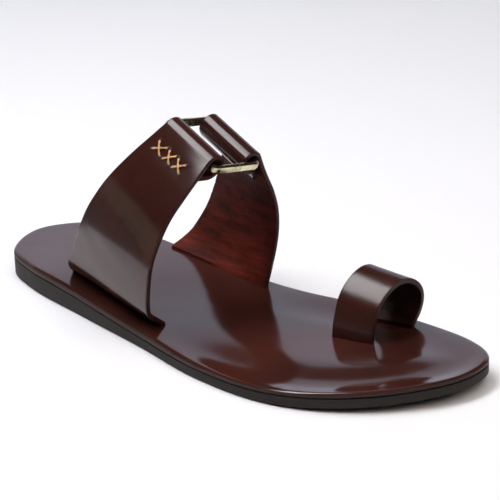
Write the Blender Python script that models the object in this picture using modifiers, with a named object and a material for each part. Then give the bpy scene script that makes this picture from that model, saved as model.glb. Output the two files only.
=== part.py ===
"""Slip-on leather sandal for the right foot: a black rubber outsole, a leather footbed, two
half straps that meet at a rectangular ring on the instep, and a leather loop for the big toe.
Metres, +X to the toe, +Y to the inner side of the foot, +Z up, the floor at z = 0."""
import math

import bmesh
import bpy
from mathutils import Matrix, Vector

# Sole
SOLE_LENGTH = 0.2862
SOLE_WIDTH = 0.1033
FOOTBED_THICK = 0.0035
OUTSOLE_HEEL = 0.0092
OUTSOLE_FRONT = 0.0045
WEDGE_BACK = -0.32 * SOLE_LENGTH
WEDGE_FRONT = 0.065 * SOLE_LENGTH
SPRING_START = 0.205 * SOLE_LENGTH
TOE_SPRING = 0.0043
FOOTBED_EDGE = 0.0009
OUTSOLE_EDGE = 0.0006
GAP = 0.0003
OUTLINE_STEPS = 5
SOLE_STATIONS = 24

# Instep straps: the tail lies under the footbed, the tab is the end turned back round the ring
# and narrows toward its end. Each wall leaves the fold at its own angle below the ring's plane,
# and the fold's middle lies this far inside the ring's bar.
STRAP_THICK = 0.0022
STRAP_AT_RING = 0.0320
STRAP_EDGE = 0.0004
BEND_INSIDE = 0.0006
FOOT_RISE = 0.0006
TAIL = 0.009
TAB = 0.019
TAB_CLEAR = 0.003
TAB_TAPER = 0.40
FOLD_RADIUS = 0.0046
FOLD_INSET = 0.0015
LATERAL_LEAVE = math.radians(60)
MEDIAL_LEAVE = math.radians(47)
STRAP_PATHS = 9
WALL_STEPS = 2
BEND_STEPS = 4
FOLD_STEPS = 10
TAB_STEPS = 7

# Ring
RING_CENTRE = Vector((0.007 * SOLE_LENGTH, -0.010 * SOLE_WIDTH, 0.0875))
RING_PITCH = math.radians(24)
RING_ROLL = math.radians(-10)
BAR_SPACING = 0.0270
BAR_WIDTH = 0.0028
BAR_HEIGHT = 0.0042
BAR_ROUND = 0.0012
RING_CORNER = 0.0022
RING_INSIDE = STRAP_AT_RING + 2 * (RING_CORNER - BAR_WIDTH / 2)
CORNER_STEPS = 5

# Toe loop. LOOP_FOOT is how far its legs run straight up out of the footbed, as a share of the
# rise, and LOOP_FLARE how much wider it is at the inner leg's foot, as a share of its width.
LOOP_THICK = 0.0023
LOOP_WIDTH = 0.0207
LOOP_SPAN = 0.0266
LOOP_RISE_BACK = 0.0269
LOOP_RISE_FRONT = 0.0235
LOOP_CENTRE = (0.266 * SOLE_LENGTH, 0.265 * SOLE_WIDTH)
LOOP_FOOT = 0.03
LOOP_FLARE = 0.25
LOOP_TURN = math.radians(13)
LOOP_SKEW = math.radians(1.5)
LOOP_PATHS = 5

# Slots reach this far past each edge of the leather, and their cutters take this many rows of
# a strap's path from the tail up, or of a loop's leg above its tail
SLOT_SPARE = 0.0015
STRAP_SLOT_ROWS = 11
LEG_SLOT_ROWS = 5

SHARP_FROM = math.radians(35)

# Outline of the sole from the middle of the heel along the outer side to the toe and back.
# along: share of the length, across: share of the width
OUTLINE = [
    (-0.500, 0.019),
    (-0.448, -0.241),
    (-0.354, -0.337),
    (-0.180, -0.395),
    (-0.005, -0.443),
    (0.153, -0.497),
    (0.291, -0.471),
    (0.384, -0.356),
    (0.458, -0.148),
    (0.499, 0.124),
    (0.479, 0.350),
    (0.402, 0.462),
    (0.205, 0.493),
    (0.066, 0.411),
    (-0.073, 0.363),
    (-0.214, 0.346),
    (-0.354, 0.335),
    (-0.454, 0.269),
]

# Where each half strap leaves the footbed: its back end, then its front end
# along: share of the length, across: share of the width
LATERAL_SLOT = [
    (-0.272, -0.237),
    (0.006, -0.327),
]
MEDIAL_SLOT = [
    (-0.241, 0.301),
    (-0.001, 0.315),
]

# Swell of each half strap outside the straight line from its slot to the ring.
# height: share of the rise, back and front: swell of that edge as a share of the rise
LATERAL_SWELL = [
    (0.04, 0.034, 0.042),
    (0.09, 0.068, 0.110),
    (0.15, 0.097, 0.158),
    (0.28, 0.153, 0.212),
    (0.42, 0.198, 0.243),
    (0.56, 0.219, 0.235),
    (0.70, 0.200, 0.200),
    (0.82, 0.140, 0.128),
    (0.92, 0.064, 0.060),
]
MEDIAL_SWELL = [
    (0.04, 0.068, 0.014),
    (0.09, 0.122, 0.032),
    (0.15, 0.152, 0.052),
    (0.28, 0.189, 0.094),
    (0.42, 0.196, 0.123),
    (0.56, 0.184, 0.127),
    (0.70, 0.163, 0.100),
    (0.82, 0.115, 0.056),
    (0.92, 0.055, 0.022),
]

# Toe loop from its outer leg over the top to its inner leg.
# across: share of the span between the legs, height: share of the rise
LOOP_SHAPE = [
    (-0.48, 0.19),
    (-0.43, 0.39),
    (-0.35, 0.61),
    (-0.20, 0.80),
    (0.01, 0.94),
    (0.22, 1.00),
    (0.43, 0.97),
    (0.61, 0.85),
    (0.73, 0.67),
    (0.75, 0.48),
    (0.68, 0.27),
    (0.57, 0.11),
]

OXBLOOD = (0.045, 0.014, 0.011)
BLACK_RUBBER = (0.014, 0.013, 0.013)
PALE_BRASS = (0.52, 0.47, 0.28)


def ease(share):
    """A share held between 0 and 1 and smoothed at both ends."""
    share = min(max(share, 0.0), 1.0)
    return share * share * (3 - 2 * share)


def sole_base(x):
    """Height of the outsole's underside: flat, then lifted toward the toe."""
    share = max(0.0, (x - SPRING_START) / (SOLE_LENGTH / 2 - SPRING_START))
    return TOE_SPRING * share * share


def outsole_top(x):
    wedge = ease((x - WEDGE_BACK) / (WEDGE_FRONT - WEDGE_BACK))
    return sole_base(x) + OUTSOLE_HEEL + (OUTSOLE_FRONT - OUTSOLE_HEEL) * wedge


def footbed_base(x):
    return outsole_top(x) + GAP


def footbed_top(x):
    return footbed_base(x) + FOOTBED_THICK


def smooth(rows, steps, closed=False):
    """A smooth run through the rows, with this many points from each row to the next."""
    points = [Vector(row) for row in rows]
    count = len(points)
    out = []
    for i in range(count if closed else count - 1):
        b = points[i]
        c = points[(i + 1) % count]
        a = points[i - 1] if closed or i > 0 else b + (b - c)
        d = points[(i + 2) % count] if closed or i + 2 < count else c + (c - b)
        ta = -math.sqrt((b - a).length)
        tc = math.sqrt((c - b).length)
        td = tc + math.sqrt((d - c).length)
        out_slope = (b - a) / -ta - (c - a) / (tc - ta) + (c - b) / tc
        in_slope = (c - b) / tc - (d - b) / td + (d - c) / (td - tc)
        for k in range(steps):
            s = k / steps
            h_b = 2 * s**3 - 3 * s**2 + 1
            h_c = -2 * s**3 + 3 * s**2
            g_b = (s**3 - 2 * s**2 + s) * tc
            g_c = (s**3 - s**2) * tc
            out.append(h_b * b + h_c * c + g_b * out_slope + g_c * in_slope)
    if not closed:
        out.append(points[-1])
    return out


def on_sole(shares):
    """Places in metres from their shares of the sole's length and width."""
    return [(along * SOLE_LENGTH, across * SOLE_WIDTH) for along, across in shares]


def outline():
    """The sole's outline in metres, its box centred on the origin."""
    rows = smooth(on_sole(OUTLINE), OUTLINE_STEPS, closed=True)
    low = Vector((min(p.x for p in rows), min(p.y for p in rows)))
    high = Vector((max(p.x for p in rows), max(p.y for p in rows)))
    middle = (low + high) / 2
    scale = (SOLE_LENGTH / (high.x - low.x), SOLE_WIDTH / (high.y - low.y))
    return [((p.x - middle.x) * scale[0], (p.y - middle.y) * scale[1]) for p in rows]


def material(name, colour, roughness, metallic=0.0):
    mat = bpy.data.materials.new(name)
    mat.use_nodes = True
    shader = mat.node_tree.nodes["Principled BSDF"]
    shader.inputs["Base Color"].default_value = (*colour, 1.0)
    shader.inputs["Roughness"].default_value = roughness
    shader.inputs["Metallic"].default_value = metallic
    return mat


def add_object(name, mesh, home, mat=None):
    obj = bpy.data.objects.new(name, mesh)
    home.objects.link(obj)
    if mat:
        obj.data.materials.append(mat)
    return obj


def settle(obj):
    """Turns the object's modifiers into its mesh."""
    graph = bpy.context.evaluated_depsgraph_get()
    graph.update()
    mesh = bpy.data.meshes.new_from_object(obj.evaluated_get(graph))
    obj.modifiers.clear()
    obj.data = mesh
    return obj


def smooth_faces(obj):
    """Shades the faces smooth, with the sharper edges kept crisp."""
    obj.data.shade_smooth()
    obj.data.set_sharp_from_angle(angle=SHARP_FROM)


def sole_layer(name, low, high, thick, edge, home, mat):
    """A layer cut to the outline, its rims rounded, then bent to the heights low(x) and high(x)."""
    bm = bmesh.new()
    face = bm.faces.new([bm.verts.new((x, y, 0.0)) for x, y in outline()])
    if face.normal.z > 0:
        face.normal_flip()
    top = bmesh.ops.extrude_face_region(bm, geom=[face], use_keep_orig=True)
    raised = [v for v in top["geom"] if isinstance(v, bmesh.types.BMVert)]
    bmesh.ops.translate(bm, verts=raised, vec=(0, 0, thick))
    bmesh.ops.recalc_face_normals(bm, faces=bm.faces)
    rims = [e for e in bm.edges if abs(e.verts[0].co.z - e.verts[1].co.z) < edge / 10]
    bmesh.ops.bevel(bm, geom=rims, offset=edge, segments=2, profile=0.5, affect="EDGES")
    for i in range(1, SOLE_STATIONS):
        x = (i / SOLE_STATIONS - 0.5) * SOLE_LENGTH
        whole = bm.verts[:] + bm.edges[:] + bm.faces[:]
        bmesh.ops.bisect_plane(bm, geom=whole, dist=1e-6, plane_co=(x, 0, 0), plane_no=(1, 0, 0))
    for v in bm.verts:
        x = v.co.x
        if v.co.z < thick / 2:
            v.co.z = low(x) + v.co.z
        else:
            v.co.z = high(x) - (thick - v.co.z)
    bmesh.ops.triangulate(bm, faces=[f for f in bm.faces if len(f.verts) > 4])
    mesh = bpy.data.meshes.new(name)
    bm.to_mesh(mesh)
    bm.free()
    return add_object(name, mesh, home, mat)


def band(name, paths, thick, edge, home, mat=None):
    """A leather band with one path of points for each place across it, given its thickness."""
    bm = bmesh.new()
    grid = [[bm.verts.new(p) for p in path] for path in paths]
    for one, two in zip(grid, grid[1:]):
        for i in range(len(one) - 1):
            bm.faces.new((one[i], one[i + 1], two[i + 1], two[i]))
    mesh = bpy.data.meshes.new(name)
    bm.to_mesh(mesh)
    bm.free()
    obj = add_object(name, mesh, home, mat)
    wall = obj.modifiers.new("leather", "SOLIDIFY")
    wall.thickness = thick
    wall.offset = 0.0
    wall.use_even_offset = True
    if edge:
        soft = obj.modifiers.new("cut edges", "BEVEL")
        soft.width = edge
        soft.segments = 2
        soft.limit_method = "ANGLE"
        soft.angle_limit = math.radians(60)
    return obj


def root(x, y, inward, thick, tail):
    """Points of a tail that lies in the outsole and turns up through the footbed at (x, y)."""
    turn = thick / 2 + BEND_INSIDE
    level = outsole_top(x) - thick / 2
    points = []
    for away in (turn + tail, turn + tail / 2):
        points.append(Vector((x + inward.x * away, y + inward.y * away, level)))
    for i in range(BEND_STEPS + 1):
        angle = math.radians(90) * i / BEND_STEPS
        away = turn * (1 - math.sin(angle))
        rise = turn * (1 - math.cos(angle))
        points.append(Vector((x + inward.x * away, y + inward.y * away, level + rise)))
    return points


def across_band(count, width=None):
    """Shares of a band's width for its paths; for a slot this wide, a spare one past each edge."""
    shares = [i / (count - 1) for i in range(count)]
    if width is None:
        return shares
    spare = SLOT_SPARE / width
    return [-spare] + shares + [1 + spare]


def slot_cutter(name, paths, thick, home):
    """The space round a band where it passes the sole: the band itself, thicker by the gap."""
    cutter = settle(band(name, paths, thick + 2 * GAP, 0.0, home))
    cutter.hide_render = True
    cutter.display_type = "WIRE"
    return cutter


def cut(obj, cutters):
    for cutter in cutters:
        boolean = obj.modifiers.new(cutter.name, "BOOLEAN")
        boolean.operation = "DIFFERENCE"
        boolean.solver = "EXACT"
        boolean.object = cutter


def ring_axes():
    """The ring's own frame: x along its bars toward the toe, y to the inner side, z out of it."""
    return Matrix.Rotation(RING_PITCH, 3, "Y") @ Matrix.Rotation(RING_ROLL, 3, "X")


def half_strap_paths(side, slot, swell, leave, shares, for_slot=False):
    """Paths of a half strap, or of its slot's cutter; side is -1 for the outer half and 1 for
    the inner half."""
    axes = ring_axes()
    along = axes @ Vector((1, 0, 0))
    outward = axes @ Vector((0, side, 0))
    up = axes @ Vector((0, 0, 1))
    roll = RING_CENTRE + outward * (BAR_SPACING / 2 - FOLD_INSET)
    inward = Vector((0, -side, 0))
    back, front = [Vector(place) for place in on_sole(slot)]
    profile = smooth([(0.0, 0.0, 0.0)] + swell + [(1.0, 0.0, 0.0)], WALL_STEPS)
    paths = []
    for share in shares:
        place = back.lerp(front, share)
        centre = roll + along * (share - 0.5) * STRAP_AT_RING
        crown = centre + FOLD_RADIUS * (outward * math.sin(leave) + up * math.cos(leave))
        wall = strap_wall(place, crown, side, profile, share)
        tail = TAIL + SLOT_SPARE if for_slot else TAIL
        path = root(place.x, place.y, inward, STRAP_THICK, tail) + wall
        if for_slot:
            paths.append(path[:STRAP_SLOT_ROWS])
            continue
        for i in range(1, FOLD_STEPS + 1):
            angle = leave - math.pi * i / FOLD_STEPS
            spoke = outward * math.sin(angle) + up * math.cos(angle)
            path.append(centre + FOLD_RADIUS * spoke)
        paths.append(path + tab(wall, along, side, (0.5 - share) * STRAP_AT_RING))
    return paths


def strap_wall(place, crown, side, profile, share):
    """Points of the wall from the footbed at this place up to the fold's crown."""
    foot = Vector((place.x, place.y, footbed_top(place.x) + FOOT_RISE))
    rise = crown.z - foot.z
    wall = []
    for height, back_swell, front_swell in profile:
        point = foot.lerp(crown, height)
        point.y += side * rise * (back_swell + (front_swell - back_swell) * share)
        wall.append(point)
    return wall


def tab(wall, along, side, to_middle):
    """The turned-back end: it follows the wall from the fold down, closing to the leather gap
    and narrowing toward the strap's middle, this far along the ring."""
    start = 2 * FOLD_RADIUS
    close = STRAP_THICK + 2 * GAP
    points = []
    for k in range(1, TAB_STEPS + 1):
        length = TAB * k / TAB_STEPS
        here, before = down_wall(wall, length)
        inner = along.cross(before - here).normalized() * side
        apart = start + (close - start) * ease((length - TAB_CLEAR) / (0.5 * TAB))
        narrow = along * to_middle * TAB_TAPER * ease(length / TAB)
        points.append(here + inner * apart + narrow)
    return points


def down_wall(wall, length):
    """The point this far down from the wall's upper end, and the row just above it."""
    i = len(wall) - 1
    while i > 1 and (wall[i] - wall[i - 1]).length < length:
        length -= (wall[i] - wall[i - 1]).length
        i -= 1
    step = wall[i - 1] - wall[i]
    return wall[i] + step * (length / step.length), wall[i]


def loop_paths(shares, leg=None):
    """Paths of the toe loop, from the outer leg over the top to the inner leg, or of the cutter
    for one leg's slot. Past the top the back edge flares toward the heel."""
    ahead = Vector((math.cos(LOOP_TURN), math.sin(LOOP_TURN), 0))
    across = Vector((-math.sin(LOOP_SKEW), math.cos(LOOP_SKEW), 0))
    profile = smooth([(-0.5, LOOP_FOOT)] + LOOP_SHAPE + [(0.5, LOOP_FOOT)], WALL_STEPS)
    tail = TAIL + SLOT_SPARE if leg else TAIL
    paths = []
    for share in shares:
        middle = Vector((*LOOP_CENTRE, 0)) + ahead * (share - 0.5) * LOOP_WIDTH
        rise = LOOP_RISE_BACK + (LOOP_RISE_FRONT - LOOP_RISE_BACK) * share
        flare = ahead * (share - 1) * LOOP_FLARE * LOOP_WIDTH
        one = middle - across * (LOOP_SPAN / 2)
        two = middle + across * (LOOP_SPAN / 2) + flare
        outer = root(one.x, one.y, across, LOOP_THICK, tail)
        inner = root(two.x, two.y, -across, LOOP_THICK, tail)[::-1]
        top = []
        for i, (place, height) in enumerate(profile):
            past_top = ease(2 * i / (len(profile) - 1) - 1)
            point = middle + across * place * LOOP_SPAN + flare * past_top
            point.z = footbed_top(point.x) + height * rise
            top.append(point)
        if leg == "outer leg":
            paths.append(outer + top[:LEG_SLOT_ROWS])
        elif leg == "inner leg":
            paths.append(top[-LEG_SLOT_ROWS:] + inner)
        else:
            paths.append(outer + top + inner)
    return paths


def ring_mesh(home, mat):
    """A flat outline with a hole, given height and rounded edges, then set at its slope."""
    curve = bpy.data.curves.new("ring", "CURVE")
    curve.dimensions = "2D"
    curve.fill_mode = "BOTH"
    curve.extrude = BAR_HEIGHT / 2 - BAR_ROUND
    curve.bevel_depth = BAR_ROUND
    curve.bevel_resolution = 2
    half_core = BAR_WIDTH / 2 - BAR_ROUND
    half_length = (RING_INSIDE + BAR_WIDTH) / 2
    half_width = BAR_SPACING / 2
    for reach in (half_core, -half_core):
        corner = RING_CORNER + reach
        points = []
        for quarter, (sx, sy) in enumerate(((1, 1), (-1, 1), (-1, -1), (1, -1))):
            cx = sx * (half_length + reach - corner)
            cy = sy * (half_width + reach - corner)
            for i in range(CORNER_STEPS + 1):
                angle = math.radians(90) * (quarter + i / CORNER_STEPS)
                points.append((cx + corner * math.cos(angle), cy + corner * math.sin(angle)))
        spline = curve.splines.new("POLY")
        spline.points.add(len(points) - 1)
        spline.use_cyclic_u = True
        for point, (x, y) in zip(spline.points, points):
            point.co = (x, y, 0, 1)
    blank = bpy.data.objects.new("ring blank", curve)
    home.objects.link(blank)
    graph = bpy.context.evaluated_depsgraph_get()
    graph.update()
    mesh = bpy.data.meshes.new_from_object(blank.evaluated_get(graph))
    bpy.data.objects.remove(blank)
    bm = bmesh.new()
    bm.from_mesh(mesh)
    bmesh.ops.remove_doubles(bm, verts=bm.verts, dist=1e-6)
    bmesh.ops.recalc_face_normals(bm, faces=bm.faces)
    bm.to_mesh(mesh)
    bm.free()
    obj = add_object("ring", mesh, home, mat)
    obj.location = RING_CENTRE
    obj.rotation_euler = ring_axes().to_euler()
    return obj


def main():
    for obj in list(bpy.data.objects):
        bpy.data.objects.remove(obj)
    home = bpy.data.collections.new("toe_ring_sandal")
    hidden = bpy.data.collections.new("Cutters")
    bpy.context.scene.collection.children.link(home)
    bpy.context.scene.collection.children.link(hidden)

    leather = material("strap_leather", OXBLOOD, 0.28)
    bed_leather = material("footbed_leather", OXBLOOD, 0.2)
    rubber = material("outsole_rubber", BLACK_RUBBER, 0.7)
    brass = material("ring_brass", PALE_BRASS, 0.3, 1.0)

    halves = (
        ("lateral_strap", -1, LATERAL_SLOT, LATERAL_SWELL, LATERAL_LEAVE),
        ("medial_strap", 1, MEDIAL_SLOT, MEDIAL_SWELL, MEDIAL_LEAVE),
    )
    cutters = []
    for name, side, slot, swell, leave in halves:
        paths = half_strap_paths(side, slot, swell, leave, across_band(STRAP_PATHS))
        strap = band(name, paths, STRAP_THICK, STRAP_EDGE, home, leather)
        smooth_faces(strap)
        slot_length = (slot[1][0] - slot[0][0]) * SOLE_LENGTH
        wide = across_band(STRAP_PATHS, slot_length)
        paths = half_strap_paths(side, slot, swell, leave, wide, for_slot=True)
        cutters.append(slot_cutter(name + " slot", paths, STRAP_THICK, hidden))
    paths = loop_paths(across_band(LOOP_PATHS))
    loop = band("toe_loop", paths, LOOP_THICK, STRAP_EDGE, home, leather)
    smooth_faces(loop)
    for leg in ("outer leg", "inner leg"):
        paths = loop_paths(across_band(LOOP_PATHS, LOOP_WIDTH), leg)
        cutters.append(slot_cutter(leg + " slot", paths, LOOP_THICK, hidden))

    layers = (
        ("outsole", sole_base, outsole_top, OUTSOLE_FRONT, OUTSOLE_EDGE, rubber),
        ("footbed", footbed_base, footbed_top, FOOTBED_THICK, FOOTBED_EDGE, bed_leather),
    )
    for name, low, high, thick, edge, mat in layers:
        layer = sole_layer(name, low, high, thick, edge, home, mat)
        cut(layer, cutters)
        smooth_faces(layer)
    smooth_faces(ring_mesh(home, brass))


main()
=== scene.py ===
# %% [markdown]
# # A toe ring sandal in polished leather
# The sandal is a flat rubber outsole, a leather footbed, two half straps that meet at a metal
# ring on the instep, and a leather loop for the big toe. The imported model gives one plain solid
# for each of them, in metres, with the toe along +X, the inner side of the foot along +Y and the
# floor at z = 0. Every piece is made again here at the same sizes, with finer steps, soft
# creases, rounded cut edges, and its own finish for the polished side, the inside and the edges.

# %% Load the frame
import math

import bmesh
import bpy
from mathutils import Matrix, Vector, noise


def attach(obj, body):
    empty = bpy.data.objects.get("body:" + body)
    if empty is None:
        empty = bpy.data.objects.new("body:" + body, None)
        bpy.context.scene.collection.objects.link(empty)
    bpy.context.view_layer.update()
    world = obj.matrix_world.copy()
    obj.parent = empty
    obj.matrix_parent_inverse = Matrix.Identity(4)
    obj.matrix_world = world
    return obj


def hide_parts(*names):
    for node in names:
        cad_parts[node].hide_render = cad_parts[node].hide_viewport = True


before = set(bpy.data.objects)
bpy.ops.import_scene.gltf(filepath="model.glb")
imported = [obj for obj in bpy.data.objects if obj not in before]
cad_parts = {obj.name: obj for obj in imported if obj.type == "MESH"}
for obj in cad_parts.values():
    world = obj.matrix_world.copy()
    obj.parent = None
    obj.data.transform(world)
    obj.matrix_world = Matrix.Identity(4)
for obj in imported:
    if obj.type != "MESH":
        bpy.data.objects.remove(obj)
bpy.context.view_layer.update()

print("solids:", sorted(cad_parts))

# %% [markdown]
# ## Sizes
# A sandal maker works from a pattern: the outline of the sole, where the slots go, how far each
# strap stands out over the foot. Those few sizes could be read off the solids, but a pattern in
# named values is easier to follow and to change, so it is written down again here. Shares are
# parts of a whole length, so a table row reads as "so far along, so far across".

# %% Sizes of the sole, the straps, the ring and the toe loop
SOLE_LENGTH = 0.2862
SOLE_WIDTH = 0.1033
FOOTBED_THICK = 0.0035
OUTSOLE_HEEL = 0.0092
OUTSOLE_FRONT = 0.0045
WEDGE_BACK = -0.32 * SOLE_LENGTH
WEDGE_FRONT = 0.065 * SOLE_LENGTH
SPRING_START = 0.205 * SOLE_LENGTH
TOE_SPRING = 0.0043
GAP = 0.0003
PRESS_BACK = 0.02 * SOLE_LENGTH
PRESS_FRONT = 0.21 * SOLE_LENGTH
PRESS_WIDE = 0.034
PRESS_DEEP = 0.0025
RIM_WIDE = 0.011
RIM_RISE = 0.0012

STRAP_THICK = 0.0022
STRAP_AT_RING = 0.0320
TAIL = 0.009
TAB = 0.019
TAB_CLEAR = 0.003
TAB_TAPER = 0.40
FOLD_RADIUS = 0.0046
FOLD_INSET = 0.0015
LATERAL_LEAVE = math.radians(60)
MEDIAL_LEAVE = math.radians(47)
SLOT_SPARE = 0.0005

RING_CENTRE = Vector((0.007 * SOLE_LENGTH, -0.010 * SOLE_WIDTH, 0.0875))
RING_PITCH = math.radians(24)
RING_ROLL = math.radians(-10)
BAR_SPACING = 0.0270
BAR_WIDTH = 0.0028
BAR_HEIGHT = 0.0042
BAR_ROUND = 0.0013
RING_CORNER = 0.0022
RING_INSIDE = STRAP_AT_RING + 2 * (RING_CORNER - BAR_WIDTH / 2)

LOOP_THICK = 0.0023
LOOP_WIDTH = 0.0207
LOOP_SPAN = 0.0266
LOOP_RISE_BACK = 0.0269
LOOP_RISE_FRONT = 0.0235
LOOP_CENTRE = (0.266 * SOLE_LENGTH, 0.265 * SOLE_WIDTH)
LOOP_FOOT = 0.03
LOOP_FLARE = 0.25
LOOP_TURN = math.radians(13)
LOOP_SKEW = math.radians(1.5)

# %% Tables of the pattern
# along: share of the length, across: share of the width
OUTLINE = [
    (-0.500, 0.019),
    (-0.448, -0.241),
    (-0.354, -0.337),
    (-0.180, -0.395),
    (-0.005, -0.443),
    (0.153, -0.497),
    (0.291, -0.471),
    (0.384, -0.356),
    (0.458, -0.148),
    (0.499, 0.124),
    (0.479, 0.350),
    (0.402, 0.462),
    (0.205, 0.493),
    (0.066, 0.411),
    (-0.073, 0.363),
    (-0.214, 0.346),
    (-0.354, 0.335),
    (-0.454, 0.269),
]

# Where each half strap leaves the footbed: its back end, then its front end
LATERAL_SLOT = [
    (-0.272, -0.237),
    (0.006, -0.327),
]
MEDIAL_SLOT = [
    (-0.241, 0.301),
    (-0.001, 0.315),
]

# height: share of the rise, back and front: swell of that edge as a share of the rise
LATERAL_SWELL = [
    (0.04, 0.052, 0.064),
    (0.09, 0.088, 0.136),
    (0.15, 0.108, 0.170),
    (0.28, 0.153, 0.212),
    (0.42, 0.198, 0.243),
    (0.56, 0.219, 0.235),
    (0.70, 0.200, 0.200),
    (0.82, 0.140, 0.128),
    (0.92, 0.064, 0.060),
]
MEDIAL_SWELL = [
    (0.04, 0.068, 0.014),
    (0.09, 0.122, 0.032),
    (0.15, 0.152, 0.052),
    (0.28, 0.189, 0.094),
    (0.42, 0.196, 0.123),
    (0.56, 0.184, 0.127),
    (0.70, 0.163, 0.100),
    (0.82, 0.115, 0.056),
    (0.92, 0.055, 0.022),
]

# across: share of the span between the legs, height: share of the rise
LOOP_SHAPE = [
    (-0.48, 0.19),
    (-0.43, 0.39),
    (-0.35, 0.61),
    (-0.20, 0.80),
    (0.01, 0.94),
    (0.22, 1.00),
    (0.43, 0.97),
    (0.61, 0.85),
    (0.73, 0.67),
    (0.75, 0.48),
    (0.68, 0.27),
    (0.57, 0.11),
]

# %% [markdown]
# ## Smooth runs
# Leather bends in one sweep from point to point. A spline that keeps the spacing of its points,
# a centripetal one, passes through every row of a table and never loops or overshoots where rows
# are close together, so short tables are enough.

# %% A smooth run through the rows of a table
def ease(share):
    """A share held between 0 and 1 and smoothed at both ends."""
    share = min(max(share, 0.0), 1.0)
    return share * share * (3 - 2 * share)


def smooth(rows, steps, closed=False):
    """Points on a centripetal spline, this many from each row to the next."""
    points = [Vector(row) for row in rows]
    count = len(points)
    out = []
    for i in range(count if closed else count - 1):
        b = points[i]
        c = points[(i + 1) % count]
        a = points[i - 1] if closed or i > 0 else b + (b - c)
        d = points[(i + 2) % count] if closed or i + 2 < count else c + (c - b)
        ta = -math.sqrt((b - a).length)
        tc = math.sqrt((c - b).length)
        td = tc + math.sqrt((d - c).length)
        out_slope = (b - a) / -ta - (c - a) / (tc - ta) + (c - b) / tc
        in_slope = (c - b) / tc - (d - b) / td + (d - c) / (td - tc)
        for k in range(steps):
            s = k / steps
            h_b = 2 * s**3 - 3 * s**2 + 1
            h_c = -2 * s**3 + 3 * s**2
            g_b = (s**3 - 2 * s**2 + s) * tc
            g_c = (s**3 - s**2) * tc
            out.append(h_b * b + h_c * c + g_b * out_slope + g_c * in_slope)
    if not closed:
        out.append(points[-1])
    return out


print("points round the sole:", len(smooth(OUTLINE, 12, closed=True)))

# %% [markdown]
# ## Meshes
# A mesh could be made by hand face by face, or from a thin sheet that modifiers thicken and
# round. The sheet is less work and keeps the leather an even thickness, so each leather band
# starts as a grid. Its modifiers are then applied, because the finishes are given out by face.

# %% From mesh code to a piece of the sandal
def new_object(name, bm, materials):
    mesh = bpy.data.meshes.new(name)
    bm.to_mesh(mesh)
    bm.free()
    obj = bpy.data.objects.new(name, mesh)
    bpy.context.scene.collection.objects.link(obj)
    for mat in materials:
        mesh.materials.append(mat)
    return obj


def settle(obj):
    """Turns the object's modifiers into its mesh."""
    graph = bpy.context.evaluated_depsgraph_get()
    graph.update()
    mesh = bpy.data.meshes.new_from_object(obj.evaluated_get(graph))
    obj.modifiers.clear()
    obj.data = mesh
    return obj


def finish_piece(obj, replaced=()):
    """Shades the piece smooth, crisp only at sharp corners, and puts it on the model's body."""
    obj.data.shade_smooth()
    obj.data.set_sharp_from_angle(angle=math.radians(40))
    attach(obj, "root")
    if replaced:
        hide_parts(*replaced)
    print(obj.name, "triangles:", sum(len(p.vertices) - 2 for p in obj.data.polygons))
    return obj


# %% [markdown]
# ## Wiring a finish
# A finish is a small network of nodes. Written node by node it is long and hard to read, so a
# socket is wrapped in a class that adds a Math node for each sign in an expression. All other
# nodes come from one method, which takes the settings first and then the values or links.

# %% Sockets that can be added and multiplied
class Amount:
    """A number or colour on its way through a finish."""

    def __init__(self, finish, socket):
        self.finish = finish
        self.socket = socket

    def maths(self, operation, first, second):
        return self.finish.node("ShaderNodeMath", {"operation": operation}, {0: first, 1: second})

    def __add__(self, other):
        return self.maths("ADD", self, other)

    def __sub__(self, other):
        return self.maths("SUBTRACT", self, other)

    def __mul__(self, other):
        return self.maths("MULTIPLY", self, other)

    def __rsub__(self, other):
        return self.maths("SUBTRACT", other, self)

    __radd__ = __add__
    __rmul__ = __mul__


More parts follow.
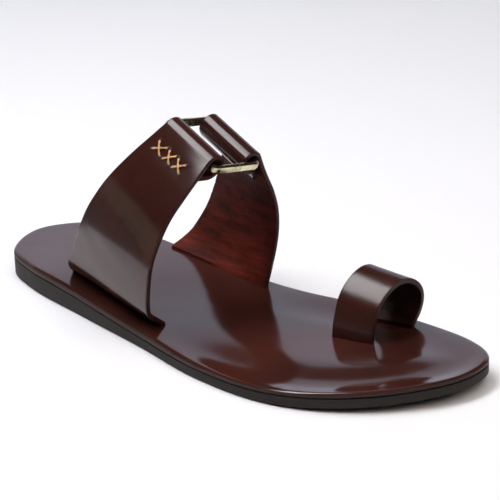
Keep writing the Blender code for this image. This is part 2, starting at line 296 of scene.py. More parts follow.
class Finish:
    """A material built from its Principled shader outwards."""

    def __init__(self, name, **constants):
        self.material = bpy.data.materials.new(name)
        self.material.use_nodes = True
        self.tree = self.material.node_tree
        self.shader = self.tree.nodes["Principled BSDF"]
        for key, value in constants.items():
            self.shader.inputs[key.replace("_", " ")].default_value = value

    def feed(self, socket, value):
        if isinstance(value, Amount):
            self.tree.links.new(value.socket, socket)
        elif isinstance(value, tuple) and len(value) == 3 and len(socket.default_value) == 4:
            socket.default_value = (*value, 1.0)
        else:
            socket.default_value = value

    def node(self, kind, settings=None, sockets=None, out=0):
        made = self.tree.nodes.new(kind)
        for key, value in (settings or {}).items():
            if key == "stops":
                ramp = made.color_ramp
                while len(ramp.elements) < len(value):
                    ramp.elements.new(0.5)
                for stop, (place, shade) in zip(ramp.elements, value):
                    stop.position = place
                    stop.color = (shade, shade, shade, 1.0)
            else:
                setattr(made, key, value)
        for key, value in (sockets or {}).items():
            self.feed(made.inputs[key], value)
        return Amount(self, made.outputs[out])

    def place(self, stretch=(1, 1, 1)):
        """Where a point is on the object, in metres, with each axis stretched."""
        spot = self.node("ShaderNodeTexCoord", out=3)
        return self.node("ShaderNodeMapping", None, {"Vector": spot, "Scale": stretch})

    def noise(self, size, detail=2.0, rough=0.5, stretch=(1, 1, 1)):
        """Cloudy noise from 0 to 1 whose patches are about this size in metres."""
        sockets = {
            "Vector": self.place(stretch),
            "Scale": 0.5 / size,
            "Detail": detail,
            "Roughness": rough,
        }
        return self.node("ShaderNodeTexNoise", None, sockets)

    def ramp(self, amount, *stops):
        return self.node("ShaderNodeValToRGB", {"stops": stops}, {"Fac": amount})

    def blend(self, first, second, share):
        settings = {"data_type": "RGBA", "blend_type": "MIX"}
        return self.node("ShaderNodeMix", settings, {0: share, 6: first, 7: second}, out=2)

    def bump(self, height, metres, after=None):
        """A Bump node whose full height is this many metres."""
        sockets = {"Height": height, "Distance": metres, "Strength": 1.0}
        if after:
            sockets["Normal"] = after
        return self.node("ShaderNodeBump", None, sockets)

    def set(self, **sockets):
        for key, value in sockets.items():
            self.feed(self.shader.inputs[key.replace("_", " ")], value)
        return self.material


# %% [markdown]
# ## Polished leather
# The straps and the footbed are vegetable tanned hide, dyed dark oxblood and burnished until it
# mirrors the room. Under the gloss the colour is very dark, slightly cloudy where the dye took
# unevenly, with pores finer than a pinhead. A painted picture of leather could be wrapped on,
# but noise measured in metres keeps the same grain on every piece and needs no unwrapping.

# %% Outside of the straps and the toe loop
OXBLOOD_DEEP = (0.025, 0.0082, 0.0064)
OXBLOOD_WARM = (0.064, 0.0172, 0.0116)


def polished_leather(name, shine, cloud, pores, ior):
    """Dyed, burnished leather: cloudy colour, uneven polish, soft waves and fine pores."""
    finish = Finish(name, IOR=ior)
    clouds = finish.noise(0.022, detail=3.0)
    mottle = finish.noise(0.0016, detail=3.0, rough=0.6)
    shade = finish.ramp(clouds, (0.35, 0.0), (0.68, 1.0))
    colour = finish.blend(OXBLOOD_DEEP, OXBLOOD_WARM, shade * cloud + mottle * 0.25)
    waves = finish.bump(finish.noise(0.011, detail=1.0), 0.00016)
    grain = finish.bump(finish.noise(0.00045, detail=2.0, rough=0.6), pores, after=waves)
    polish = mottle * 0.06 + clouds * 0.08 + (shine - 0.07)
    return finish.set(Base_Color=colour, Roughness=polish, Normal=grain)


STRAP_GRAIN = polished_leather("strap_polished_side", shine=0.17, cloud=0.50, pores=0.000012, ior=1.4)
LOOP_GRAIN = polished_leather("loop_polished_side", shine=0.24, cloud=0.35, pores=0.000012, ior=1.4)
FOOTBED_GRAIN = polished_leather("footbed_polished_side", shine=0.14, cloud=0.60, pores=0.000009, ior=1.5)
print("polished leather finishes:", STRAP_GRAIN.name, FOOTBED_GRAIN.name)

# %% [markdown]
# The inside of a strap is the flesh side: redder, less even, only slicked down with gum, and
# finely wrinkled along the bends. The cut edges are dyed nearly black and rubbed smooth, so they
# are darker and softer in shine than either face.

# %% Inside of the straps and the cut edges
def flesh_side(name, deep, warm):
    finish = Finish(name, IOR=1.45, Specular_IOR_Level=0.14)
    streaks = finish.noise(0.0028, detail=3.0, rough=0.6, stretch=(0.2, 1, 1.2))
    clouds = finish.noise(0.012, detail=4.0, rough=0.6)
    fibres = finish.noise(0.0006, detail=4.0, rough=0.7, stretch=(0.45, 1, 1.6))
    share = finish.ramp(clouds * 0.35 + streaks * 0.5 + fibres * 0.15, (0.36, 0.0), (0.62, 1.0))
    colour = finish.blend(deep, warm, share)
    wrinkles = finish.bump(finish.noise(0.0020, detail=3.0, stretch=(0.18, 1, 1.3)), 0.00040)
    nap = finish.bump(fibres, 0.00004, after=wrinkles)
    return finish.set(Base_Color=colour, Roughness=fibres * 0.15 + 0.45, Normal=nap)


def cut_edge():
    finish = Finish("burnished_cut_edge", IOR=1.45, Specular_IOR_Level=0.30)
    layers = finish.noise(0.0005, detail=3.0, stretch=(0.3, 0.3, 1.5))
    colour = finish.blend((0.016, 0.0078, 0.0068), (0.050, 0.0200, 0.0160), layers)
    return finish.set(Base_Color=colour, Roughness=layers * 0.2 + 0.42, Normal=finish.bump(layers, 0.00005))


STRAP_INSIDE = flesh_side("strap_inside", (0.020, 0.0050, 0.0040), (0.150, 0.0210, 0.0120))
# The toe loop's inside is the same flesh side with several times darker colours: painted shade for the underside of
# the arch, where little light reaches.
LOOP_INSIDE_PAINTED_SHADE = flesh_side("loop_inside_painted_shade", (0.008, 0.0045, 0.0040), (0.030, 0.0075, 0.0050))
CUT_EDGE = cut_edge()
print("inside and edge finishes:", STRAP_INSIDE.name, CUT_EDGE.name)

# %% [markdown]
# ## Rubber, metal and thread
# The outsole is matt black sheet rubber, its side sanded after the sole was cut, which leaves
# fine lines along it. The ring is plated a pale brass that has dulled to olive in its hollows.
# The thread is waxed linen in light orange tan.

# %% Outsole rubber, ring brass and waxed thread
def sanded_rubber():
    finish = Finish("sanded_black_rubber", IOR=1.5, Specular_IOR_Level=0.30)
    specks = finish.noise(0.0008, detail=4.0, rough=0.7)
    lines = finish.noise(0.0005, detail=2.0, stretch=(0.05, 0.05, 1.0))
    colour = finish.blend((0.0090, 0.0070, 0.0066), (0.030, 0.0222, 0.0190), specks * 0.6 + lines * 0.4)
    rough = finish.bump(specks * 0.5 + lines, 0.00006)
    return finish.set(Base_Color=colour, Roughness=specks * 0.2 + 0.55, Normal=rough)


def aged_brass():
    finish = Finish("pale_aged_brass", Metallic=1.0)
    clouds = finish.noise(0.004, detail=4.0, rough=0.65)
    dull = finish.ramp(clouds, (0.42, 0.0), (0.70, 1.0))
    colour = finish.blend((0.72, 0.66, 0.43), (0.30, 0.28, 0.16), dull)
    fine = finish.noise(0.0004, detail=3.0)
    return finish.set(Base_Color=colour, Roughness=dull * 0.22 + 0.16, Normal=finish.bump(fine, 0.00001))


def waxed_thread():
    finish = Finish("waxed_tan_thread", IOR=1.45)
    strands = finish.noise(0.0003, detail=3.0)
    colour = finish.blend((0.60, 0.30, 0.115), (0.92, 0.60, 0.31), strands)
    return finish.set(Base_Color=colour, Roughness=strands * 0.2 + 0.35, Normal=finish.bump(strands, 0.00004))


OUTSOLE_RUBBER = sanded_rubber()
RING_BRASS = aged_brass()
THREAD = waxed_thread()
print("other finishes:", OUTSOLE_RUBBER.name, RING_BRASS.name, THREAD.name)

# %% [markdown]
# ## The layers of the sole
# Both layers are cut to one outline. The floor under the front lifts toward the toe, and the
# outsole thins from the heel to the ball of the foot, so every height is a function of x. A slab
# is cut flat, its rims rounded, sliced into short cells so that it can bend, and then bent.

# %% Heights along the sole
def sole_base(x):
    """Height of the outsole's underside: flat, then lifted toward the toe."""
    share = max(0.0, (x - SPRING_START) / (SOLE_LENGTH / 2 - SPRING_START))
    return TOE_SPRING * share * share


def outsole_top(x):
    wedge = ease((x - WEDGE_BACK) / (WEDGE_FRONT - WEDGE_BACK))
    return sole_base(x) + OUTSOLE_HEEL + (OUTSOLE_FRONT - OUTSOLE_HEEL) * wedge


def footbed_base(x):
    return outsole_top(x) + GAP


def footbed_top(x):
    return footbed_base(x) + FOOTBED_THICK


def from_rim(spot, rim):
    """Distance of a place from the outline, whose points are vectors."""
    near = min(range(len(rim)), key=lambda i: (rim[i] - spot).length_squared)
    away = []
    for a, b in ((rim[near - 1], rim[near]), (rim[near], rim[(near + 1) % len(rim)])):
        share = (spot - a).dot(b - a) / (b - a).length_squared
        away.append((a.lerp(b, min(max(share, 0.0), 1.0)) - spot).length)
    return min(away)


def pressed(x, y, rim):
    """How far the footbed has been trodden down near its outer and front rim."""
    share = ease((x - PRESS_BACK) / (PRESS_FRONT - PRESS_BACK)) * ease((0.5 * SOLE_WIDTH - y) / (0.4 * SOLE_WIDTH))
    if share == 0.0:
        return 0.0
    away = from_rim(Vector((x, y)), rim)
    step = 1 - ease((away - RIM_WIDE) / (PRESS_WIDE - RIM_WIDE))
    return share * (PRESS_DEEP * step - RIM_RISE * (1 - ease(away / RIM_WIDE)))


def on_sole(shares):
    """Places in metres from their shares of the sole's length and width."""
    return [Vector((along * SOLE_LENGTH, across * SOLE_WIDTH)) for along, across in shares]


def outline():
    """The sole's outline in metres, its box centred on the origin."""
    rows = smooth(on_sole(OUTLINE), 12, closed=True)
    low = Vector((min(p.x for p in rows), min(p.y for p in rows)))
    high = Vector((max(p.x for p in rows), max(p.y for p in rows)))
    middle = (low + high) / 2
    scale = (SOLE_LENGTH / (high.x - low.x), SOLE_WIDTH / (high.y - low.y))
    return [((p.x - middle.x) * scale[0], (p.y - middle.y) * scale[1]) for p in rows]


print("heel and toe height of the footbed in mm:", [round(footbed_top(x) * 1000, 1) for x in (-0.14, 0.14)])

# %% One layer of the sole
def slab(name, thick, top_rim, foot_rim, materials, cell=0.003):
    """A flat layer cut to the outline, with rounded rims, sliced into cells."""
    bm = bmesh.new()
    face = bm.faces.new([bm.verts.new((x, y, 0.0)) for x, y in outline()])
    raised = bmesh.ops.extrude_face_region(bm, geom=[face], use_keep_orig=True)
    verts = [v for v in raised["geom"] if isinstance(v, bmesh.types.BMVert)]
    bmesh.ops.translate(bm, verts=verts, vec=(0, 0, thick))
    bmesh.ops.recalc_face_normals(bm, faces=bm.faces)
    for level, rim, rounds in ((thick, top_rim, 5), (0.0, foot_rim, 3)):
        edges = [e for e in bm.edges if all(abs(v.co.z - level) < 1e-6 for v in e.verts)]
        bmesh.ops.bevel(bm, geom=edges, offset=rim, segments=rounds, profile=0.5, affect="EDGES")
    for axis, reach in ((0, SOLE_LENGTH), (1, SOLE_WIDTH)):
        count = round(reach / cell)
        for i in range(1, count):
            spot = Vector((0, 0, 0))
            spot[axis] = (i / count - 0.5) * reach
            across = Vector((0, 0, 0))
            across[axis] = 1.0
            whole = bm.verts[:] + bm.edges[:] + bm.faces[:]
            bmesh.ops.bisect_plane(bm, geom=whole, dist=1e-6, plane_co=spot, plane_no=across)
    return bm


def bend(bm, thick, low, high, unevenness=0.0):
    """Sets the slab's underside at low(x) and its top at high(x), with a slight unevenness."""
    rim = [Vector(place) for place in outline()]
    for v in bm.verts:
        x = v.co.x
        share = v.co.z / thick
        wave = unevenness * noise.noise(Vector((x, v.co.y, 0)) / 0.045) * share
        if v.co.z < thick / 2:
            v.co.z = low(x) + v.co.z + wave
        else:
            v.co.z = high(x) - (thick - v.co.z) + wave
            if unevenness:
                v.co.z -= pressed(x, v.co.y, rim)


# %% [markdown]
# ## Leather bands
# Each strap leaves a slot in the footbed, so it starts as a tail between the layers, turns up,
# swells out over the foot and folds round the ring. Every place across the strap has its own
# path, and the paths side by side are the sheet. The same sheet, thicker by the gap, cuts the
# slot, so the slot always fits the leather.

# %% A band from its paths
def band(name, paths, thick, materials, flip=False, edge=0.0):
    bm = bmesh.new()
    grid = [[bm.verts.new(p) for p in path] for path in paths]
    for one, two in zip(grid, grid[1:]):
        for i in range(len(one) - 1):
            corners = (one[i], one[i + 1], two[i + 1], two[i])
            bm.faces.new(corners[::-1] if flip else corners)
    obj = new_object(name, bm, materials)
    wall = obj.modifiers.new("leather", "SOLIDIFY")
    wall.thickness = thick
    wall.offset = 0.0
    wall.use_even_offset = True
    wall.material_offset = 1
    wall.material_offset_rim = 2
    if edge:
        soft = obj.modifiers.new("cut edges", "BEVEL")
        soft.width = edge
        soft.segments = 3
        soft.limit_method = "ANGLE"
        soft.angle_limit = math.radians(60)
    return settle(obj)


def root(x, y, inward, thick, tail):
    """Points of a tail that lies in the outsole and turns up through the footbed at (x, y)."""
    turn = thick / 2 + 0.0006
    level = outsole_top(x) - thick / 2
    points = []
    for away in (turn + tail, turn + tail / 2):
        points.append(Vector((x + inward.x * away, y + inward.y * away, level)))
    steps = 6
    for i in range(steps + 1):
        angle = math.radians(90) * i / steps
        away = turn * (1 - math.sin(angle))
        rise = turn * (1 - math.cos(angle))
        points.append(Vector((x + inward.x * away, y + inward.y * away, level + rise)))
    return points


# %% Paths of a half strap
RING_AXES = Matrix.Rotation(RING_PITCH, 3, "Y") @ Matrix.Rotation(RING_ROLL, 3, "X")
WALL_FINE = 6
FOLD_FINE = 22
TAB_STEPS = 7
TAB_FINE = 2


def strap_wall(side, slot, swell, leave, share):
    """Points of the wall of a half strap from the footbed to where it starts to fold."""
    inside = Vector(((share - 0.5) * STRAP_AT_RING, side * (BAR_SPACING / 2 - FOLD_INSET), 0))
    centre = RING_CENTRE + RING_AXES @ inside
    lean = Vector((0, side * math.sin(leave), math.cos(leave)))
    crown = centre + FOLD_RADIUS * (RING_AXES @ lean)
    back_end, front_end = on_sole(slot)
    place = back_end.lerp(front_end, share)
    foot = Vector((place.x, place.y, footbed_top(place.x) + 0.0006))
    rise = crown.z - foot.z
    wall = []
    for height, back, front in smooth([(0.0, 0.0, 0.0)] + swell + [(1.0, 0.0, 0.0)], WALL_FINE):
        point = foot.lerp(crown, height)
        point.y += side * rise * (back + (front - back) * share)
        wall.append(point)
    return wall, centre


def down_wall(wall, length):
    """The point this far down from the wall's upper end, and the row just above it."""
    i = len(wall) - 1
    while i > 1 and (wall[i] - wall[i - 1]).length < length:
        length -= (wall[i] - wall[i - 1]).length
        i -= 1
    step = wall[i - 1] - wall[i]
    return wall[i] + step * (length / step.length), wall[i]


def strap_path(side, slot, swell, leave, share, spare=0.0):
    """One path of a half strap: tail, wall, fold round the ring's bar, and turned back tab."""
    wall, centre = strap_wall(side, slot, swell, leave, share)
    foot = wall[0]
    path = root(foot.x, foot.y, Vector((0, -side, 0)), STRAP_THICK, TAIL + spare) + wall
    if spare:
        return path
    along = RING_AXES @ Vector((1, 0, 0))
    for i in range(1, FOLD_FINE + 1):
        angle = leave - math.pi * i / FOLD_FINE
        spoke = Vector((0, side * math.sin(angle), math.cos(angle)))
        path.append(centre + FOLD_RADIUS * (RING_AXES @ spoke))
    close = STRAP_THICK + 2 * GAP
    turned = path[-1:]
    for k in range(1, TAB_STEPS + 1):
        length = TAB * k / TAB_STEPS
        here, before = down_wall(wall, length)
        inner = along.cross(before - here).normalized() * side
        apart = 2 * FOLD_RADIUS
        apart += (close - apart) * ease((length - TAB_CLEAR) / (0.5 * TAB))
        narrow = along * (0.5 - share) * STRAP_AT_RING * TAB_TAPER * ease(length / TAB)
        turned.append(here + inner * apart + narrow)
    return path + smooth(turned, TAB_FINE)[1:]


print("length of the outer strap's path in mm:", end=" ")
sample = strap_path(-1, LATERAL_SLOT, LATERAL_SWELL, LATERAL_LEAVE, 0.5)
print(round(sum((b - a).length for a, b in zip(sample, sample[1:])) * 1000))

# %% [markdown]
# ## Creases and puckers
# Leather that has been pulled through a slot and stitched isn't a clean sheet. Troughs are put
# in one by one, each a row of a table: where it is across the strap and how far down from the ring,
# which way it runs, how long and wide it is, and how deep. A ridge is a trough of negative depth.

# %% Soft troughs and ridges in a sheet of paths
# across: share of the width, down: metres below the fold, turn: degrees from level,
# long and wide: half sizes in metres, deep: metres pushed inward
LATERAL_CREASES = [
    (0.25, 0.0105, 0, 0.0050, 0.0030, 0.00016),
    (0.46, 0.0105, 0, 0.0050, 0.0030, 0.00016),
    (0.66, 0.0105, 0, 0.0050, 0.0030, 0.00016),
    (0.45, 0.0185, 4, 0.0150, 0.0030, -0.00012),
    (0.30, 0.0520, 6, 0.0260, 0.0060, 0.00020),
    (0.75, 0.0600, -8, 0.0200, 0.0050, 0.00022),
    (0.15, 0.0700, 3, 0.0180, 0.0040, 0.00018),
]
MEDIAL_CREASES = [
    (0.46, 0.0105, 0, 0.0160, 0.0030, 0.00016),
    (0.20, 0.0560, 9, 0.0150, 0.0013, 0.00022),
    (0.28, 0.0600, 11, 0.0200, 0.0014, 0.00026),
    (0.18, 0.0640, 8, 0.0170, 0.0012, 0.00024),
    (0.36, 0.0665, 12, 0.0240, 0.0014, 0.00028),
    (0.22, 0.0705, 10, 0.0180, 0.0012, 0.00026),
    (0.45, 0.0730, 9, 0.0260, 0.0013, 0.00026),
    (0.30, 0.0765, 7, 0.0220, 0.0012, 0.00024),
]


def crease(paths, shares, tail_rows, crown_row, width, creases, side):
    """Pushes the wall rows of the paths in and out along the sheet's own normal."""
    moved = [[p.copy() for p in path] for path in paths]
    for i, share in enumerate(shares):
        down = 0.0
        for j in range(crown_row, tail_rows, -1):
            here = paths[i][j]
            if j < crown_row:
                down += (paths[i][j + 1] - here).length
            left = paths[max(i - 1, 0)][j]
            right = paths[min(i + 1, len(paths) - 1)][j]
            normal = (right - left).cross(paths[i][j + 1] - paths[i][j - 1]).normalized()
            if normal.y * side < 0:
                normal = -normal
            span = (paths[-1][j] - paths[0][j]).length
            push = 0.0
            for across, low, turn, long, wide, deep in creases:
                u = (share - across) * span
                v = down - low
                c, s = math.cos(math.radians(turn)), math.sin(math.radians(turn))
                along = (u * c + v * s) / long
                over = (v * c - u * s) / wide
                push += deep * math.exp(-along * along - over * over)
            moved[i][j] = here - normal * push
    return moved


# %% [markdown]
# ## The two half straps
# They differ only in side, slot and swell, so one loop makes both. Fifty paths across keep the
# mirror finish free of facets.

# %% Half straps with their slots
STRAP_PATHS = 49
HALVES = (
    ("lateral_strap", -1, LATERAL_SLOT, LATERAL_SWELL, LATERAL_LEAVE, LATERAL_CREASES),
    ("medial_strap", 1, MEDIAL_SLOT, MEDIAL_SWELL, MEDIAL_LEAVE, MEDIAL_CREASES),
)
ROOT_ROWS = 9
SLOT_ROWS = ROOT_ROWS + 4
leather = [STRAP_GRAIN, STRAP_INSIDE, CUT_EDGE]
cutters = []
for name, side, slot, swell, leave, creases in HALVES:
    shares = [i / (STRAP_PATHS - 1) for i in range(STRAP_PATHS)]
    paths = [strap_path(side, slot, swell, leave, share) for share in shares]
    crown_row = ROOT_ROWS + (len(swell) + 1) * WALL_FINE
    paths = crease(paths, shares, ROOT_ROWS, crown_row, STRAP_AT_RING, creases, side)
    strap = band(name + "_leather", paths, STRAP_THICK, leather, flip=side < 0, edge=0.0005)
    finish_piece(strap, [name])
    spare = SLOT_SPARE / ((slot[1][0] - slot[0][0]) * SOLE_LENGTH)
    wide = [-spare] + [i / 8 for i in range(9)] + [1 + spare]
    short = [strap_path(side, slot, swell, leave, share, SLOT_SPARE)[:SLOT_ROWS] for share in wide]
    cutters.append(band(name + "_slot", short, STRAP_THICK + 2 * GAP, [CUT_EDGE] * 3))

# %% [markdown]
# ## The toe loop
# A short wide band that rises out of two slots and arches over the big toe. It leans toward the
# inner side and its front edge is lower than its back edge, so each path has its own rise.

# %% Toe loop with its slots
LOOP_FINE = 8


def loop_path(share, spare=0.0):
    """The outer leg's tail, the arch, and the inner leg's tail for one path of the loop."""
    ahead = Vector((math.cos(LOOP_TURN), math.sin(LOOP_TURN), 0))
    across = Vector((-math.sin(LOOP_SKEW), math.cos(LOOP_SKEW), 0))
    middle = Vector((*LOOP_CENTRE, 0)) + ahead * (share - 0.5) * LOOP_WIDTH
    rise = LOOP_RISE_BACK + (LOOP_RISE_FRONT - LOOP_RISE_BACK) * share
    flare = ahead * (share - 1) * LOOP_FLARE * LOOP_WIDTH
    one = middle - across * (LOOP_SPAN / 2)
    two = middle + across * (LOOP_SPAN / 2) + flare
    outer = root(one.x, one.y, across, LOOP_THICK, TAIL + spare)
    inner = root(two.x, two.y, -across, LOOP_THICK, TAIL + spare)[::-1]
    profile = smooth([(-0.5, LOOP_FOOT)] + LOOP_SHAPE + [(0.5, LOOP_FOOT)], LOOP_FINE)
    top = []
    for i, (place, height) in enumerate(profile):
        past_top = ease(2 * i / (len(profile) - 1) - 1)
        point = middle + across * place * LOOP_SPAN + flare * past_top
        point.z = footbed_top(point.x) + height * rise
        top.append(point)
    return outer, top, inner


paths = []
for i in range(25):
    outer, top, inner = loop_path(i / 24)
    paths.append(outer + top + inner)
# The inside takes the darkened flesh finish, painted shade under the arch.
loop_leather = [LOOP_GRAIN, LOOP_INSIDE_PAINTED_SHADE, CUT_EDGE]
loop = band("toe_loop_leather", paths, LOOP_THICK, loop_leather, flip=True, edge=0.0005)
finish_piece(loop, ["toe_loop"])

spare = SLOT_SPARE / LOOP_WIDTH
wide = [-spare] + [i / 4 for i in range(5)] + [1 + spare]
legs = [loop_path(share, SLOT_SPARE) for share in wide]
near = [outer + top[:1] for outer, top, inner in legs]
far = [top[-1:] + inner for outer, top, inner in legs]
cutters.append(band("outer_leg_slot", near, LOOP_THICK + 2 * GAP, [CUT_EDGE] * 3))
cutters.append(band("inner_leg_slot", far, LOOP_THICK + 2 * GAP, [CUT_EDGE] * 3))

# %% [markdown]
# ## Footbed and outsole
# The bands above give the shapes of the slots, so the sole is cut last. The footbed's upper rim
# is rolled down softly, which turns its shine dark along the edge. Faces are given their finish
# by where they look: up is polished leather, sideways is the dyed cut edge.

# %% The two layers, slotted
def make_layer(name, thick, top_rim, foot_rim, low, high, unevenness, materials):
    bm = slab(name, thick, top_rim, foot_rim, materials)
    bend(bm, thick, low, high, unevenness)
    bm.normal_update()
    for face in bm.faces:
        face.material_index = 0 if face.normal.z > 0.6 else 1
    layer = new_object(name, bm, materials)
    for cutter in cutters:
        opening = layer.modifiers.new(cutter.name, "BOOLEAN")
        opening.operation = "DIFFERENCE"
        opening.solver = "EXACT"
        opening.object = cutter
    return settle(layer)


footbed = make_layer(
    "footbed_leather_layer", FOOTBED_THICK, 0.0018, 0.0005, footbed_base, footbed_top, 0.00035,
    [FOOTBED_GRAIN, CUT_EDGE],
)
outsole = make_layer(
    "outsole_rubber_layer", OUTSOLE_FRONT, 0.0004, 0.0007, sole_base, outsole_top, 0.0,
    [OUTSOLE_RUBBER, OUTSOLE_RUBBER],
)
finish_piece(footbed, ["footbed"])
finish_piece(outsole, ["outsole"])
for cutter in cutters:
    bpy.data.objects.remove(cutter)

# %% [markdown]
# ## The ring
# A rectangle of flat brass rod with rounded corners. Bending a profile along a path would pinch
# the corners, so a flat outline with a hole is given height and rounded edges instead.

# %% Ring
def rounded_oblong(half_length, half_width, corner, fine=10):
    points = []
    for quarter, (sx, sy) in enumerate(((1, 1), (-1, 1), (-1, -1), (1, -1))):
        cx = sx * (half_length - corner)
        cy = sy * (half_width - corner)
        for i in range(fine + 1):
            angle = math.radians(90) * (quarter + i / fine)
            points.append((cx + corner * math.cos(angle), cy + corner * math.sin(angle)))
    return points


curve = bpy.data.curves.new("ring", "CURVE")
curve.dimensions = "2D"
curve.fill_mode = "BOTH"
curve.extrude = BAR_HEIGHT / 2 - BAR_ROUND
curve.bevel_depth = BAR_ROUND
curve.bevel_resolution = 4
for reach in (BAR_WIDTH / 2 - BAR_ROUND, BAR_ROUND - BAR_WIDTH / 2):
    half_length = (RING_INSIDE + BAR_WIDTH) / 2 + reach
    half_width = BAR_SPACING / 2 + reach
    spline = curve.splines.new("POLY")
    points = rounded_oblong(half_length, half_width, RING_CORNER + reach)
    spline.points.add(len(points) - 1)
    spline.use_cyclic_u = True
    for point, (x, y) in zip(spline.points, points):
        point.co = (x, y, 0, 1)
blank = bpy.data.objects.new("ring_blank", curve)
bpy.context.scene.collection.objects.link(blank)
graph = bpy.context.evaluated_depsgraph_get()
graph.update()
bm = bmesh.new()
bm.from_mesh(blank.evaluated_get(graph).to_mesh())
bpy.data.objects.remove(blank)
bmesh.ops.remove_doubles(bm, verts=bm.verts, dist=1e-6)
bmesh.ops.recalc_face_normals(bm, faces=bm.faces)
bm.transform(Matrix.Translation(RING_CENTRE) @ RING_AXES.to_4x4())
ring = new_object("ring_brass_rod", bm, [RING_BRASS])
finish_piece(ring, ["ring"])

# %% [markdown]
# ## Cross stitches
# Three crosses of waxed thread hold each tab to its strap. The holes lie in two level rows; each
# hole is drawn as a low dark bump on the skin, painted shade standing in for its pit.
# A cross runs from an upper hole to the lower hole beside it and back. Each thread is
# two plies twisted together, swept along a line that dips into the leather at both ends.

# %% Threads
CROSSES = ((0.156, 0.350), (0.386, 0.543), (0.577, 0.752))
HOLE_ROWS = (0.0076, 0.0134)
THREAD_THICK = 0.00095
# Width of the dark bump of painted shade drawn at each hole
HOLE_SHADE_WIDE = 0.0020


def on_skin(half, share, down, lift):
    """A point on the polished skin of a half strap, lifted off it, and the skin's normal."""
    here = down_wall(strap_wall(*half, share)[0], down)[0]
    lower = down_wall(strap_wall(*half, share)[0], down + 0.001)[0]
    ahead = down_wall(strap_wall(*half, share + 0.02)[0], down)[0]
    normal = (ahead - here).cross(lower - here).normalized()
    if normal.y * half[0] < 0:
        normal = -normal
    return here + normal * (STRAP_THICK / 2 + lift), normal


def sweep(bm, points, radius, sides=8):
    """A round tube along the points, closed at both ends."""
    rings = []
    for i, point in enumerate(points):
        ahead = (points[min(i + 1, len(points) - 1)] - points[max(i - 1, 0)]).normalized()
        one = ahead.orthogonal().normalized()
        if rings:
            one = (last - ahead * last.dot(ahead)).normalized()
        last = one
        two = ahead.cross(one)
        spokes = [math.tau * k / sides for k in range(sides)]
        rings.append([bm.verts.new(point + (one * math.cos(a) + two * math.sin(a)) * radius) for a in spokes])
    for a, b in zip(rings, rings[1:]):
        for k in range(sides):
            bm.faces.new((a[k], a[(k + 1) % sides], b[(k + 1) % sides], b[k]))
    bm.faces.new(rings[0][::-1])
    bm.faces.new(rings[-1])


def stitch(bm, ends, height):
    """A two ply thread over the skin between two holes; height lifts it over the one below."""
    (start, up_start), (end, up_end) = ends
    run = (end - start).normalized()
    for ply in (0, math.pi):
        points = []
        for k in range(41):
            s = k / 40
            up = up_start.lerp(up_end, s).normalized()
            sideways = run.cross(up)
            arch = min(1.0, 7 * s, 7 * (1 - s))
            lift = -0.0007 + (0.0010 + height * math.sin(math.pi * s)) * math.sin(arch * math.pi / 2)
            angle = ply + s * 9.0
            twist = (up * math.cos(angle) + sideways * math.sin(angle)) * THREAD_THICK * 0.24
            points.append(start.lerp(end, s) + up * lift + twist)
        sweep(bm, points, THREAD_THICK * 0.3)


for name, *half, creases in HALVES:
    bm = bmesh.new()
    for left, right in CROSSES:
        upper, lower = HOLE_ROWS
        for height, one, two in ((0.0, (left, lower), (right, upper)), (0.0006, (left, upper), (right, lower))):
            ends = [on_skin(half, share, down, 0.0) for share, down in (one, two)]
            stitch(bm, ends, height)
    threads = new_object(name + "_stitches", bm, [THREAD])
    finish_piece(threads)
    # Each awl hole is a flattened dark bump in the cut edge finish: painted shade where the hole's pit would be.
    bm = bmesh.new()
    for share in sum(CROSSES, ()):
        for down in HOLE_ROWS:
            spot, up = on_skin(half, share, down, 0.0)
            turned = Matrix.Translation(spot) @ up.to_track_quat("Z", "Y").to_matrix().to_4x4()
            flat = turned @ Matrix.Diagonal((1.0, 1.0, 0.25, 1.0))
            bmesh.ops.create_uvsphere(bm, u_segments=16, v_segments=8, radius=HOLE_SHADE_WIDE / 2, matrix=flat)
    holes = new_object(name + "_awl_holes", bm, [CUT_EDGE])
    finish_piece(holes)

# %% [markdown]
# ## Floor, light and camera
# The sandal stands on a white floor before a white wall. A broad soft light overhead lights the
# floor and the leather. It is kept out of the reflections, because the real room is dark above
# the camera, and the polished leather shows only what is low behind it: the wall and the floor.

# %% Floor and wall
def plain(name, colour, glow):
    finish = Finish(name, Roughness=0.9)
    return finish.set(Base_Color=colour, Emission_Color=colour, Emission_Strength=glow)


def sheet(name, corners, mat, seen=True, mirrored=True):
    """A flat card of the set. One that is only seen, or only mirrored, takes no part in the light."""
    bm = bmesh.new()
    bm.faces.new([bm.verts.new(corner) for corner in corners])
    obj = new_object(name, bm, [mat])
    obj.visible_camera = seen
    obj.visible_glossy = mirrored
    obj.visible_diffuse = seen and mirrored
    obj.visible_shadow = seen and mirrored
    return obj


CAMERA_AT = Vector((0.63698, -0.53950, 0.33308))
BEHIND = Vector((-CAMERA_AT.x, -CAMERA_AT.y, 0)).normalized()
SIDEWAYS = Vector((-BEHIND.y, BEHIND.x, 0))
UP = Vector((0, 0, 1))
floor = sheet("floor", [(-4, -4, 0), (4, -4, 0), (4, 4, 0), (-4, 4, 0)], plain("white_floor", (0.84, 0.85, 0.88), 0.0))
wall_corners = [
    BEHIND * 1.7 - SIDEWAYS * 2.0,
    BEHIND * 1.7 + SIDEWAYS * 2.0,
    BEHIND * 1.7 + SIDEWAYS * 2.0 + UP * 1.1,
    BEHIND * 1.7 - SIDEWAYS * 2.0 + UP * 1.1,
]
wall = sheet("wall", wall_corners, plain("white_wall", (0.42, 0.45, 0.54), 1.0))
dark_corners = [(-0.158, -0.060), (-2.0, 1.21), (-2.0, -2.0), (1.0, -2.0), (0.10, -0.26), (-0.158, -0.26)]
dark_corners = [(x, y, 0.0004) for x, y in dark_corners]
sheet("dark_floor", dark_corners, plain("dark_floor", (0.15, 0.145, 0.14), 0.0), seen=False)
shelf_corners = [(-1.9, 0.2, 0.0), (-0.6, -1.7, 0.0), (-0.6, -1.7, 0.40), (-1.9, 0.2, 0.40)]
sheet("dim_shelf", shelf_corners, plain("dim_shelf", (0.25, 0.25, 0.19), 1.0), seen=False)

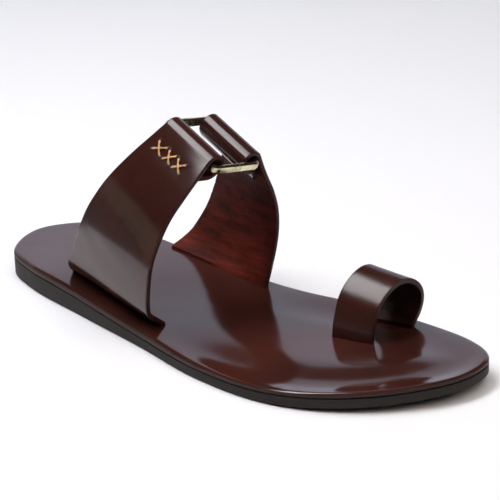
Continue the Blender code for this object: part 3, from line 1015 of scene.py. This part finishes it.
pale = plain("pale_backdrop", (0.85, 0.85, 0.87), 0.9)
far_corners = [(-4, -4), (4, -4), (4, 4), (-4, 4)]
for i, (one, two) in enumerate(zip(far_corners, far_corners[1:] + far_corners[:1])):
    corners = [(*one, 0), (*two, 0), (*two, 4), (*one, 4)]
    sheet("backdrop_" + str(i + 1), corners, pale, mirrored=False)

# %% Lights and the dim room
def soft_light(name, at, aim, size, watts, colour, mirrored):
    data = bpy.data.lights.new(name, "AREA")
    data.shape = "RECTANGLE"
    data.size, data.size_y = size
    data.energy = watts
    data.color = colour
    lamp = bpy.data.objects.new(name, data)
    lamp.location = at
    lamp.rotation_euler = (Vector(aim) - Vector(at)).to_track_quat("-Z", "Y").to_euler()
    lamp.visible_glossy = mirrored
    bpy.context.scene.collection.objects.link(lamp)
    return lamp


soft_light("overhead", (-0.3, 0.2, 2.0), (0, 0, 0), (2.6, 2.6), 26, (1.0, 0.99, 0.98), False)
soft_light("softbox", (-0.28, -0.375, 1.10), (-0.28, -0.374, 0), (0.28, 0.95), 11.4, (0.99, 0.98, 1.0), True)

soft_light("front_fill", (0.75, 0.05, 0.75), (0.05, 0, 0), (0.7, 0.7), 3.2, (1.0, 0.86, 0.74), False)

world = bpy.data.worlds.new("dim_room")
world.use_nodes = True
world.node_tree.nodes["Background"].inputs["Color"].default_value = (0.030, 0.026, 0.026, 1.0)
bpy.context.scene.world = world
bpy.context.scene.view_settings.view_transform = "Standard"

# %% Camera
CAMERA_RIGHT = Vector((0.66921, 0.74242, -0.03109))
CAMERA_UP = Vector((-0.23012, 0.24685, 0.94133))
CAMERA_BACK = Vector((0.70655, -0.62279, 0.33604))
lens = bpy.data.cameras.new("camera")
lens.sensor_width = 36.0
lens.lens = 36.0 * 1903.2 / 500
camera = bpy.data.objects.new("camera", lens)
turn = Matrix((CAMERA_RIGHT, CAMERA_UP, CAMERA_BACK)).transposed()
camera.matrix_world = Matrix.Translation(CAMERA_AT) @ turn.to_4x4()
bpy.context.scene.collection.objects.link(camera)
bpy.context.scene.camera = camera
print("camera lens in mm:", round(lens.lens, 1))
